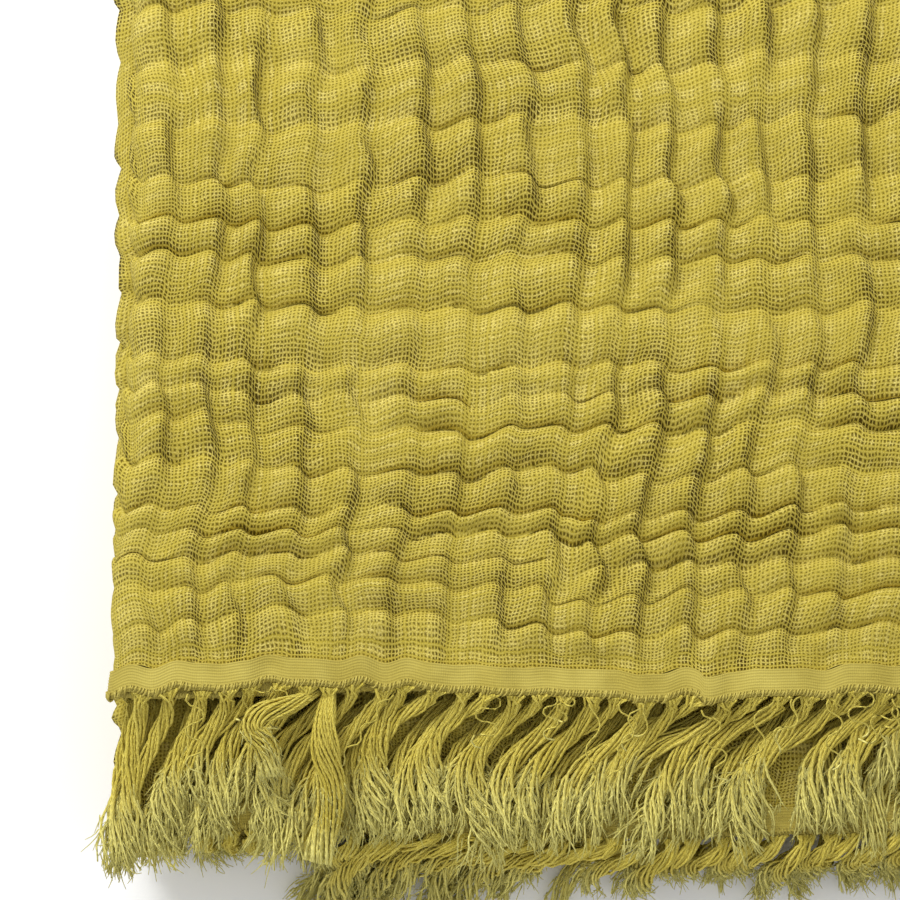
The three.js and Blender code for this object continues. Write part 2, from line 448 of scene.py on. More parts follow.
sample_u, sample_v = np.meshgrid(np.linspace(5, RUN, 200), np.linspace(5, 300, 200))
sample_lift = crinkle(sample_u, sample_v)[2]
print("crinkle from", round(float(sample_lift.min()), 2), "to", round(float(sample_lift.max()), 2), "mm")

# %% [markdown]
# ## Making sheets of cloth
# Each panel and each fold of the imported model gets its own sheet, a grid of quads over its share
# of the length. The grid lines are placed by the ridges and creases. The UV map holds the flat
# cloth's own measure in metres, so the weave follows the thread as on a loom.

# %% A mesh from arrays
def make_mesh(name, points, quads, uv, attributes, material):
    """An object at the origin from points in mm; uv and attributes hold a value for each point."""
    mesh = bpy.data.meshes.new(name)
    mesh.vertices.add(len(points))
    mesh.vertices.foreach_set("co", (points * MM).astype(np.float32).ravel())
    mesh.loops.add(quads.size)
    mesh.loops.foreach_set("vertex_index", quads.astype(np.int32).ravel())
    mesh.polygons.add(len(quads))
    mesh.polygons.foreach_set("loop_start", np.arange(0, quads.size, 4, dtype=np.int32))
    mesh.update(calc_edges=True)
    layer = mesh.uv_layers.new(name="cloth_metres")
    layer.data.foreach_set("uv", uv[quads.ravel()].astype(np.float32).ravel())
    for key, values in attributes.items():
        data = mesh.attributes.new(name=key, type="FLOAT", domain="POINT")
        data.data.foreach_set("value", values.astype(np.float32).ravel())
    mesh.polygons.foreach_set("use_smooth", np.ones(len(quads), dtype=bool))
    mesh.materials.append(material)
    mesh.validate()
    piece = bpy.data.objects.new(name, mesh)
    bpy.context.collection.objects.link(piece)
    return piece


def grid_quads(n_rows, n_columns):
    """Quads over a grid of points, facing layer 1's side."""
    index = np.arange(n_rows * n_columns).reshape(n_rows, n_columns)
    corners = [index[:-1, :-1], index[1:, :-1], index[1:, 1:], index[:-1, 1:]]
    return np.stack([c.ravel() for c in corners], axis=-1)


def samples(bounds, start, end, shares):
    """Grid lines from start to end: at these shares of every stretch between the bounds."""
    lines = [start, end]
    for a, b in zip(bounds[:-1], bounds[1:]):
        lines += [b - s * (b - a) for s in shares]
    lines = np.array(sorted(x for x in lines if start <= x <= end))
    gaps = np.append(np.diff(lines) > 0.12, True)
    kept = lines[gaps]
    kept[0], kept[-1] = start, end
    return kept


print("mesh helpers ready")

# %% [markdown]
# ## Materials
# The gauze is a plain open weave of mustard-green cotton. Its threads are drawn from the UV map:
# two sets of stripes cross, and where neither lies, a painted shade stands for the layer below,
# which lies in shade. The ridges' steep sides are stretched open, so the mesh's stretch widens the
# holes there and paints their shade deeper. The threads' middles carry a painted highlight. Sheen
# and a fine bump give the dry, hairy look of washed cotton.

# %% Small helpers for shader nodes
def srgb(r, g, b):
    """A colour as seen on a screen, turned to the linear values that shaders take."""
    def linear(c):
        c = c / 255
        return c / 12.92 if c <= 0.04045 else ((c + 0.055) / 1.055) ** 2.4
    return (linear(r), linear(g), linear(b), 1.0)


class Nodes:
    """Adds nodes to one material in a line each."""

    SPECULAR = 0.08
    SHEEN_TINT = srgb(236, 226, 160)

    def __init__(self, name):
        self.material = bpy.data.materials.new(name)
        self.material.use_nodes = True
        self.tree = self.material.node_tree
        self.shader = self.tree.nodes["Principled BSDF"]

    def add(self, kind, inputs=None, **settings):
        """A node with its settings, its inputs given by number or name."""
        node = self.tree.nodes.new(kind)
        for key, value in settings.items():
            setattr(node, key, value)
        for key, value in (inputs or {}).items():
            self.feed(node.inputs[key], value)
        return node

    def feed(self, socket, value):
        """Links a socket to another, or sets its value."""
        if isinstance(value, bpy.types.NodeSocket):
            self.tree.links.new(value, socket)
        else:
            socket.default_value = value

    def math(self, operation, a, b=0.0, c=0.0):
        """One sum."""
        return self.add("ShaderNodeMath", {0: a, 1: b, 2: c}, operation=operation).outputs[0]

    def soften(self, value, low, high, to_low=0.0, to_high=1.0):
        """A smooth step of value between low and high."""
        inputs = {"Value": value, "From Min": low, "From Max": high, "To Min": to_low, "To Max": to_high}
        return self.add("ShaderNodeMapRange", inputs, interpolation_type="SMOOTHSTEP").outputs[0]

    def noise(self, vector, scale, detail=2.0):
        """Smooth noise from 0 to 1."""
        inputs = {"Vector": vector, "Scale": scale, "Detail": detail}
        return self.add("ShaderNodeTexNoise", inputs).outputs["Fac"]

    def blend(self, factor, a, b):
        """A mix of two colours."""
        return self.add("ShaderNodeMix", {0: factor, 6: a, 7: b}, data_type="RGBA").outputs[2]

    def attribute(self, name):
        """A value stored on the mesh."""
        return self.add("ShaderNodeAttribute", attribute_name=name).outputs["Fac"]

    def finish(self, colour, height, distance, roughness, sheen):
        """Joins the colour and a bump to the shader, and returns the material."""
        self.feed(self.shader.inputs["Base Color"], colour)
        bump = self.add("ShaderNodeBump", {"Height": height, "Distance": distance, "Strength": 1.0})
        self.feed(self.shader.inputs["Normal"], bump.outputs[0])
        self.feed(self.shader.inputs["Roughness"], roughness)
        self.shader.inputs["Specular IOR Level"].default_value = self.SPECULAR
        self.shader.inputs["Sheen Weight"].default_value = sheen
        self.shader.inputs["Sheen Roughness"].default_value = 0.5
        self.shader.inputs["Sheen Tint"].default_value = self.SHEEN_TINT
        return self.material


# %% Gauze
THREAD = 0.00103
HAIR_SCALE = 2600.0


def threads(n, coordinate, crossing, seed_shift):
    """Distance from the nearest thread's middle, 0 to 1, on threads that wander a little."""
    slow = n.noise(crossing, 330.0, 2.0)
    wander = n.math("MULTIPLY_ADD", slow, 1.4, seed_shift)
    count = n.math("MULTIPLY_ADD", coordinate, 1 / THREAD, wander)
    centred = n.math("SUBTRACT", n.math("FRACT", count), 0.5)
    return n.math("MULTIPLY", n.math("ABSOLUTE", centred), 2.0), count


def thread_tone(n, count):
    """A random value from 0 to 1 for each thread."""
    whole = n.math("FLOOR", count)
    return n.add("ShaderNodeTexWhiteNoise", {"W": whole}, noise_dimensions="1D").outputs[0]


def weave_holes(n, uv, openness_and_shade, from_warp, from_weft, warp_tone, weft_tone):
    """How much painted shade of the layer below a hole shows: nothing on a thread, most between threads
    where the weave is stretched.
    """
    slub = n.noise(uv, 900.0, 2.0)
    patch = n.noise(uv, 160.0, 3.0)
    reach = n.math("MULTIPLY_ADD", openness_and_shade, -0.34, 0.63)
    reach = n.math("MULTIPLY_ADD", n.math("SUBTRACT", slub, 0.5), 0.55, reach)
    reach = n.math("MULTIPLY_ADD", n.math("SUBTRACT", patch, 0.5), 0.35, reach)
    thin_warp = n.math("MULTIPLY_ADD", warp_tone, 0.24, n.math("SUBTRACT", from_warp, 0.12))
    thin_weft = n.math("MULTIPLY_ADD", weft_tone, 0.24, n.math("SUBTRACT", from_weft, 0.12))
    nearest = n.math("MINIMUM", thin_warp, thin_weft)
    hole = n.soften(n.math("SUBTRACT", nearest, reach), -0.16, 0.2)
    # painted shade: a more stretched weave shows a stronger shade in its holes
    return n.math("MULTIPLY", hole, n.soften(openness_and_shade, 0.0, 1.0, 0.62, 0.95))


def thread_colour(n, uv, on_thread, pale, fibre):
    """The cotton's colour: a slow change over the cloth, pale threads, a painted highlight on the
    threads' middles, fine hairs.
    """
    light = n.blend(n.noise(uv, 26.0, 4.0), srgb(174, 156, 58), srgb(190, 173, 72))
    light = n.blend(n.math("MULTIPLY", pale, 0.8), light, srgb(239, 223, 136))
    # painted highlight: the middle of each thread is painted paler, as light catches its crown
    light = n.blend(n.soften(on_thread, 0.3, 0.0, 0.0, 0.45), light, srgb(233, 217, 122))
    return n.blend(n.soften(fibre, 0.3, 0.75), light, srgb(170, 152, 50))


def make_gauze():
    """The open crinkled cloth."""
    n = Nodes("gauze")
    uv = n.add("ShaderNodeUVMap", uv_map="cloth_metres").outputs[0]
    split = n.add("ShaderNodeSeparateXYZ", {0: uv})
    from_warp, warp_count = threads(n, split.outputs[0], uv, 0.0)
    from_weft, weft_count = threads(n, split.outputs[1], uv, 0.37)
    warp_tone, weft_tone = thread_tone(n, warp_count), thread_tone(n, weft_count)
    openness_and_shade = n.attribute("open_and_shade")
    hole = weave_holes(n, uv, openness_and_shade, from_warp, from_weft, warp_tone, weft_tone)
    fibre = n.noise(uv, HAIR_SCALE, 3.0)
    on_thread = n.math("MINIMUM", from_warp, from_weft)
    light = thread_colour(n, uv, on_thread, n.math("MULTIPLY", warp_tone, weft_tone), fibre)
    # painted shade: the colour of the shaded layer below, seen in the holes, deeper where the weave is
    # more stretched
    painted_shade_below = n.blend(openness_and_shade, srgb(104, 85, 6), srgb(66, 50, 0))
    round_warp = n.math("SUBTRACT", 1.0, n.math("POWER", from_warp, 2.0))
    round_weft = n.math("SUBTRACT", 1.0, n.math("POWER", from_weft, 2.0))
    height = n.math("MAXIMUM", round_warp, round_weft)
    height = n.math("MULTIPLY_ADD", fibre, 0.35, height)
    return n.finish(n.blend(hole, light, painted_shade_below), height, 0.00035, 0.9, 0.1)


gauze = make_gauze()
print("made", gauze.name)

# %% Hem and yarn materials
def make_hem_cloth():
    """The close-woven band: fine ribs in its mesh, the weft seen as short dashes on them, and painted
    shade set on the mesh, deepest in the ribs' grooves.
    """
    n = Nodes("hem_weave")
    uv = n.add("ShaderNodeUVMap", uv_map="cloth_metres").outputs[0]
    split = n.add("ShaderNodeSeparateXYZ", {0: uv})
    dash, _ = threads(n, n.math("MULTIPLY", split.outputs[0], 1.7), uv, 0.1)
    painted_shade = n.attribute("painted_shade")
    tone = n.noise(uv, 60.0, 4.0)
    fibre = n.noise(uv, HAIR_SCALE, 3.0)
    light = n.blend(n.soften(tone, 0.3, 0.7), srgb(168, 152, 70), srgb(201, 186, 98))
    light = n.blend(n.soften(fibre, 0.35, 0.8), light, srgb(192, 176, 84))
    # painted shade from the mesh, plus a slight darkening along the weft dashes
    shade = n.math("MULTIPLY_ADD", n.soften(dash, 0.4, 1.0), 0.06, n.math("MULTIPLY", painted_shade, 0.26))
    colour = n.blend(shade, light, srgb(118, 100, 26))
    height = n.math("MULTIPLY_ADD", dash, -0.3, n.math("MULTIPLY", fibre, 0.5))
    return n.finish(colour, height, 0.0002, 0.85, 0.1)


PLY_TURNS = 520.0


def make_yarn(name, light_a, light_b, shade, tip):
    """Soft two-ply yarn: slanting ply lines with painted shade in their grooves, a tone of its own for
    each yarn, and a tip painted paler as a highlight.
    """
    n = Nodes(name)
    uv = n.add("ShaderNodeUVMap", uv_map="cloth_metres").outputs[0]
    split = n.add("ShaderNodeSeparateXYZ", {0: uv})
    round_yarn = n.math("MULTIPLY", split.outputs[0], 2.0)
    turns = n.math("MULTIPLY_ADD", split.outputs[1], PLY_TURNS, round_yarn)
    ply = n.math("ABSOLUTE", n.math("SUBTRACT", n.math("FRACT", turns), 0.5))
    tone = n.attribute("tone")
    fibre = n.noise(n.add("ShaderNodeTexCoord").outputs["Object"], 2400.0, 3.0)
    light = n.blend(tone, light_a, light_b)
    light = n.blend(n.soften(fibre, 0.3, 0.8), light, shade)
    # painted shade in the grooves between the plies
    light = n.blend(n.soften(ply, 0.14, 0.0, 0.0, 0.6), light, shade)
    # painted highlight: the loose ends are painted paler toward the tip
    colour = n.blend(n.soften(n.attribute("tip"), 0.5, 0.95, 0.0, 0.85), light, tip)
    height = n.math("MULTIPLY_ADD", fibre, 0.5, n.math("MULTIPLY", ply, 1.6))
    return n.finish(colour, height, 0.00022, 0.9, 0.03)


hem_weave = make_hem_cloth()
fringe_yarn = make_yarn(
    "fringe_yarn", srgb(218, 200, 90), srgb(242, 226, 118), srgb(182, 164, 58), srgb(255, 246, 150))
whip_thread = make_yarn(
    "whip_thread", srgb(204, 188, 96), srgb(220, 204, 112), srgb(160, 144, 60), srgb(214, 198, 108))
print("made", hem_weave.name, fringe_yarn.name, whip_thread.name)

# %% [markdown]
# ## The panels and folds
# The top face gets the finest grid, because it is the one that is looked at. The layers inside
# the folds show only at the sides, so they are coarser. Most pieces ride on the body of the packed
# part they stand for.

# %% Panels and folds
FINE_ACROSS = (0, 0.12, 0.25, 0.38, 0.5, 0.61, 0.72, 0.82, 0.91)
FINE_DOWN = (0, 0.04, 0.1, 0.19, 0.32, 0.48, 0.65, 0.81, 0.93)
MEDIUM = (0, 0.2, 0.45, 0.68, 0.86)
CLOSE = MEDIUM + (0.1, 0.32, 0.56, 0.78, 0.93)
COARSE = (0, 0.35, 0.73)
TUCK = 0.5


def lines_across(first_shares, rest_shares):
    """Grid lines over the whole ribbon, finer on layer 1 and its bend, even round the bends."""
    lines = [samples(ridges, 0, CUTS[2], first_shares)]
    lines.append(samples(ridges, CUTS[2], CUTS[3], rest_shares)[1:])
    lines.append(np.linspace(CUTS[3], CUTS[4], 7)[1:])
    lines.append(samples(ridges, CUTS[4], CUTS[5], rest_shares)[1:])
    lines.append(np.linspace(CUTS[5], CUTS[6], 6)[1:])
    lines.append(samples(ridges, CUTS[6], WIDTH, rest_shares)[1:])
    return np.concatenate(lines)


def lay_cloth(name, across, down):
    """One sheet over the given grid lines."""
    u, v = np.meshgrid(across, down)
    points, openness_and_shade = cloth(u, v)
    uv = np.stack([u, v], axis=-1).reshape(-1, 2) * MM
    quads = grid_quads(len(down), len(across))
    piece = make_mesh(name, points.reshape(-1, 3), quads, uv, {"open_and_shade": openness_and_shade}, gauze)
    print(name, len(quads) * 2, "triangles")
    return piece


def stretch(name, shares, steps=None):
    """Grid lines along one panel or fold."""
    start = STARTS[name] - (TUCK if name == "top" else 0)
    end = STARTS[name] + LENGTHS[name] + (TUCK if name == "upper_inner" else 0)
    return samples(rows, start, end, shares) if steps is None else np.linspace(start, end, steps)


all_across = lines_across(MEDIUM, COARSE)
fine_across = samples(ridges, 0, CUTS[2], FINE_ACROSS)
under_across = all_across[all_across >= CUTS[2] - 1e-6]
under_across = np.concatenate([[CUTS[2]], under_across[under_across > CUTS[2] + 0.1]])
back_across = np.concatenate([fine_across, under_across[1:]])
laid = (
    ("top_face", fine_across, stretch("top", FINE_DOWN)),
    ("top_under_layers", under_across, stretch("top", COARSE)),
    ("back_outer_fold_cloth", back_across, stretch("back_outer", CLOSE)),
    ("bottom_cloth", all_across, stretch("bottom", MEDIUM)),
    ("front_fold_cloth", all_across, stretch("front", COARSE, 15)),
    ("lower_inner_cloth", all_across, stretch("lower_inner", COARSE)),
    ("back_inner_fold_cloth", all_across, stretch("back_inner", COARSE, 13)),
    ("upper_inner_cloth", all_across, stretch("upper_inner", MEDIUM)),
)
sheets = {}
for name, across, down in laid:
    sheets[name] = lay_cloth(name, across, down)

# %% [markdown]
# ## Selvedges
# Along the long sides the weft turns back round the last warp threads, which makes a narrow firm
# edge. Each is a slim closed strip that follows the cloth's edge, so no raw sheet edge is seen.

# %% Selvedges
SELVEDGE_WIDTH = 3.0
SELVEDGE_HALF = 0.75
SELVEDGE_SIDES = 8
SELVEDGE_SHADE = 0.75


def ring_quads(n_rings, n_sides):
    """Quads round a tube of closed rings, with both ends closed by quads for an even ring."""
    index = np.arange(n_rings * n_sides).reshape(n_rings, n_sides)
    around = np.roll(index, -1, axis=1)
    corners = [index[:-1], around[:-1], around[1:], index[1:]]
    side = np.stack([c.ravel() for c in corners], axis=-1)
    caps = []
    for k in range(n_sides // 2 - 1):
        low, high = k, n_sides - 1 - k
        caps.append([index[0, low], index[0, high], index[0, high - 1], index[0, low + 1]])
        caps.append([index[-1, low + 1], index[-1, high - 1], index[-1, high], index[-1, low]])
    return np.concatenate([side, np.array(caps)])


def turned_out(points, quads):
    """The quads, turned over if they enclose a negative volume."""
    a, b, c, d = (points[quads[:, k]] for k in range(4))
    volume = np.einsum("ij,ij->", a, np.cross(b, c)) + np.einsum("ij,ij->", a, np.cross(c, d))
    return quads if volume > 0 else quads[:, ::-1]


def selvedge(name, panel, steps):
    """Both selvedges of one panel or fold, as two closed strips in one piece."""
    lines = stretch(panel, MEDIUM)
    down = np.linspace(lines[0], lines[-1], steps)
    angle = np.linspace(0, 2 * math.pi, SELVEDGE_SIDES, endpoint=False)
    wide, high = np.cos(angle), np.sin(angle)
    parts, quads, offset = [], [], 0
    for edge, inward in ((0.0, 1.0), (WIDTH, -1.0)):
        v, k = np.meshgrid(down, np.arange(SELVEDGE_SIDES), indexing="ij")
        u = edge + inward * SELVEDGE_WIDTH * (0.42 + 0.5 * wide[k])
        du, dv, lift, _ = crinkle(np.full_like(v, edge), v)
        points = place(u + du, v + dv, lift + SELVEDGE_HALF * high[k]).reshape(-1, 3)
        points[:, 2] = np.maximum(points[:, 2], ON_FLOOR - 0.05 * high[k].ravel())
        parts.append(points)
        quads.append(turned_out(points, ring_quads(steps, SELVEDGE_SIDES)) + offset)
        offset += len(points)
    points = np.concatenate(parts)
    uv = points[:, [0, 1]] * MM
    # painted shade: the selvedges take the hem cloth's painted shade at this strength, as the cloth's
    # edges lie in shade
    shade = np.full(len(points), SELVEDGE_SHADE)
    piece = make_mesh(name, points, np.concatenate(quads), uv, {"painted_shade": shade}, hem_weave)
    return piece


selvedges = {}
for name, made_name, panel, steps in (
    ("top_face", "top_selvedges", "top", 190),
    ("back_outer_fold_cloth", "back_outer_selvedges", "back_outer", 40),
    ("bottom_cloth", "bottom_selvedges", "bottom", 160),
    ("front_fold_cloth", "front_fold_selvedges", "front", 15),
    ("lower_inner_cloth", "lower_inner_selvedges", "lower_inner", 160),
    ("back_inner_fold_cloth", "back_inner_selvedges", "back_inner", 13),
    ("upper_inner_cloth", "upper_inner_selvedges", "upper_inner", 160),
):
    selvedges[name] = selvedge(made_name, panel, steps)
print("made", len(selvedges), "pairs of selvedges")

# %% [markdown]
# ## Hem bands
# Each short end is bound by a close-woven band 7 mm wide with fine ribs along it. The band
# follows all four layers, so it is one closed strip swept along the ribbon, its ribs in the mesh.

# %% Hem bands
BAND_LENGTH = hem_high[1] - hem_low[1]
BAND_HALF = 1.0
RIBS = 8
RIB_DEPTH = 0.17
GAP = 0.3
BAND_INSET = 0.12
BAND_LINES = (260, 12, 130, 9, 90, 8, 90)


def hem_point(u, beyond, out, lower):
    """A point of a hem, `beyond` mm past the cloth's end and `out` mm off its outer surface."""
    v = TOTAL + beyond if lower else -beyond
    end = TOTAL if lower else 0.0
    pulled = hem_wave(u, np.full_like(u, end))
    return place(u, v + pulled, out + hem_ripple(u))


def hem_band(name, lower):
    """One ribbed band."""
    stretches = zip(CUTS[:-1], CUTS[1:], BAND_LINES)
    across = np.concatenate([np.linspace(a, b, n)[:-1] for a, b, n in stretches] + [[WIDTH]])
    q_out = np.linspace(BAND_INSET, BAND_LENGTH - BAND_INSET, RIBS * 4 + 1)
    turns = RIBS * (q_out - q_out[0]) / (q_out[-1] - q_out[0])
    rib = 0.5 + 0.5 * np.cos(2 * math.pi * turns)
    cut_edge = BAND_LENGTH + 0.9
    q_back = [BAND_LENGTH + 0.1, cut_edge, cut_edge, BAND_LENGTH, BAND_INSET, 0.0, 0.0]
    out_back = [0.7, 0.5, -0.5, -BAND_HALF, -BAND_HALF, -0.6, 0.6]
    q = np.concatenate([q_out, q_back])
    out = np.concatenate([BAND_HALF - RIB_DEPTH * (1 - rib), out_back])
    # painted shade: full in the rib valleys and on the cut edge, less on the band's back and inner end
    painted_shade = np.concatenate([1 - rib, [1.0, 1.0, 1.0, 0.3, 0.3, 0.4, 0.4]])
    n = len(q)
    u, k = np.meshgrid(across, np.arange(n), indexing="ij")
    unevenness = 0.14 * drift(u / 2.5, q[k] / 3.0, 42)
    points = hem_point(u, GAP + q[k], out[k] + unevenness, lower).reshape(-1, 3)
    quads = turned_out(points, ring_quads(len(across), n))
    uv = np.stack([u, q[k]], axis=-1).reshape(-1, 2) * MM
    piece = make_mesh(name, points, quads, uv, {"painted_shade": painted_shade[k]}, hem_weave)
    print(name, len(quads) * 2, "triangles")
    return piece


top_band = hem_band("top_hem_band_woven", False)
lower_band = hem_band("lower_hem_band_woven", True)

# %% [markdown]
# ## Whipped edges
# Past the band a soft thread is whipped over the cut edge in slanting loops, which lock the
# fringe's knots. One loop is six short tube segments; the rest are copies of it along the hem.

# %% Tubes along many paths at once
TUBE_SIDES = 4


def tubes(name, paths, radii, reference, values, material):
    """Closed four-sided tubes, one for each path of equal length; values are per path and point."""
    n, steps, _ = paths.shape
    along = np.gradient(paths, axis=1)
    along /= np.linalg.norm(along, axis=2, keepdims=True)
    side = np.cross(along, reference)
    side /= np.linalg.norm(side, axis=2, keepdims=True)
    other = np.cross(along, side)
    angle = np.linspace(0, 2 * math.pi, TUBE_SIDES, endpoint=False)
    rings = [paths + radii[..., None] * (math.cos(a) * side + math.sin(a) * other) for a in angle]
    points = np.stack(rings, axis=2).reshape(-1, 3)
    each = steps * TUBE_SIDES
    one = turned_out(points[:each], ring_quads(steps, TUBE_SIDES))
    quads = (one[None] + (np.arange(n) * each)[:, None, None]).reshape(-1, 4)
    gone = np.cumsum(np.linalg.norm(np.diff(paths, axis=1), axis=2), axis=1)
    length = np.concatenate([np.zeros((n, 1)), gone], axis=1)
    shape = (n, steps, TUBE_SIDES)
    round_share = np.broadcast_to(np.arange(TUBE_SIDES) / TUBE_SIDES, shape)
    uv = np.stack([round_share, np.broadcast_to(length[..., None] * MM, shape)], axis=-1).reshape(-1, 2)
    spread = {key: np.broadcast_to(x[..., None], shape) for key, x in values.items()}
    piece = make_mesh(name, points, quads, uv, spread, material)
    print(name, n, "strands,", len(quads) * 2, "triangles")
    return piece


# %% Whipped edges
WHIP_PITCH = 0.95
WHIP_REACH = 1.1
WHIP_RADIUS = 0.27
WHIP_HALF = 1.25
WHIP_BITE = 1.0


def whipped_edge(name, lower, seed):
    """Slanting loops from the band's face round the cut edge to its back."""
    rng = np.random.default_rng(seed)
    starts = np.arange(1.0, WIDTH - 1.0, WHIP_PITCH)
    starts = starts + rng.uniform(-0.35, 0.35, len(starts))
    turn = np.linspace(0, math.pi, 7)
    s, t = np.meshgrid(starts, turn, indexing="ij")
    size = rng.uniform(0.8, 1.2, (len(starts), 1))
    bite = GAP + BAND_LENGTH - WHIP_BITE
    beyond = bite + (WHIP_BITE + WHIP_REACH) * np.sin(t) ** 0.8 * size
    out = WHIP_HALF * np.cos(t)
    u = s + (2.2 + 1.3 * rng.uniform(-1, 1, (len(starts), 1))) * t / math.pi
    paths = hem_point(u, beyond, out, lower)
    ahead, behind = (hem_point(u + step, beyond, out, lower) for step in (0.5, -0.5))
    reference = ahead - behind
    radii = WHIP_RADIUS * size * np.ones_like(t)
    tone = np.broadcast_to(rng.uniform(0, 1, (len(starts), 1)), t.shape)
    piece = tubes(name, paths, radii, reference, {"tone": tone, "tip": 0 * t}, whip_thread)
    return piece


top_whip = whipped_edge("top_whipped_edge", False, 51)
lower_whip = whipped_edge("lower_whipped_edge", True, 52)

# %% [markdown]
# ## The fringe
# The warp threads run on past the hem as fringe: every few millimetres about fifteen yarns draw
# together into a lock, which sweeps to one side, twists, and comes loose towards its tip. The
# locks of all four layers lie over each other. Each yarn is its own slim tube.

# %% How a lock lies
LOCK_PITCH = 7.4
YARNS = 15
YARN_RADIUS = 0.44
GATHER = 4.0
FRINGE_ROOT = GAP + BAND_LENGTH + 1.1
FLOOR_REST = 1.2
FAN_PLACE = 106.0
FAN_WIDTH = 42.0
TIP_FIBRES = 9


def ground(points, lower):
    """The height that yarns rest on: the leaf below, then the floor past its edge."""
    leaf = MIDDLE[2] + OUTER + 0.7
    edge = hem_low[1] - (box_mm("top_hem_band")[0][1] - box_mm("lower_hem_band")[0][1])
    past = ease((edge - 1.0 - points[..., 1]) / 14.0)
    return np.full(points.shape[:-1], FLOOR_REST) if lower else leaf - 5.0 * past


def lock_grid():
    """Where locks are knotted along a hem, and each place's habits, the same in every layer."""
    rng = np.random.default_rng(60)
    n = int(RUN / LOCK_PITCH) + 3
    grid = LEFT - 4.5 + LOCK_PITCH * np.arange(n) + rng.uniform(-1.3, 1.3, n)
    return grid, rng.uniform(-1, 1, (n, 3))


GRID, HABIT = lock_grid()


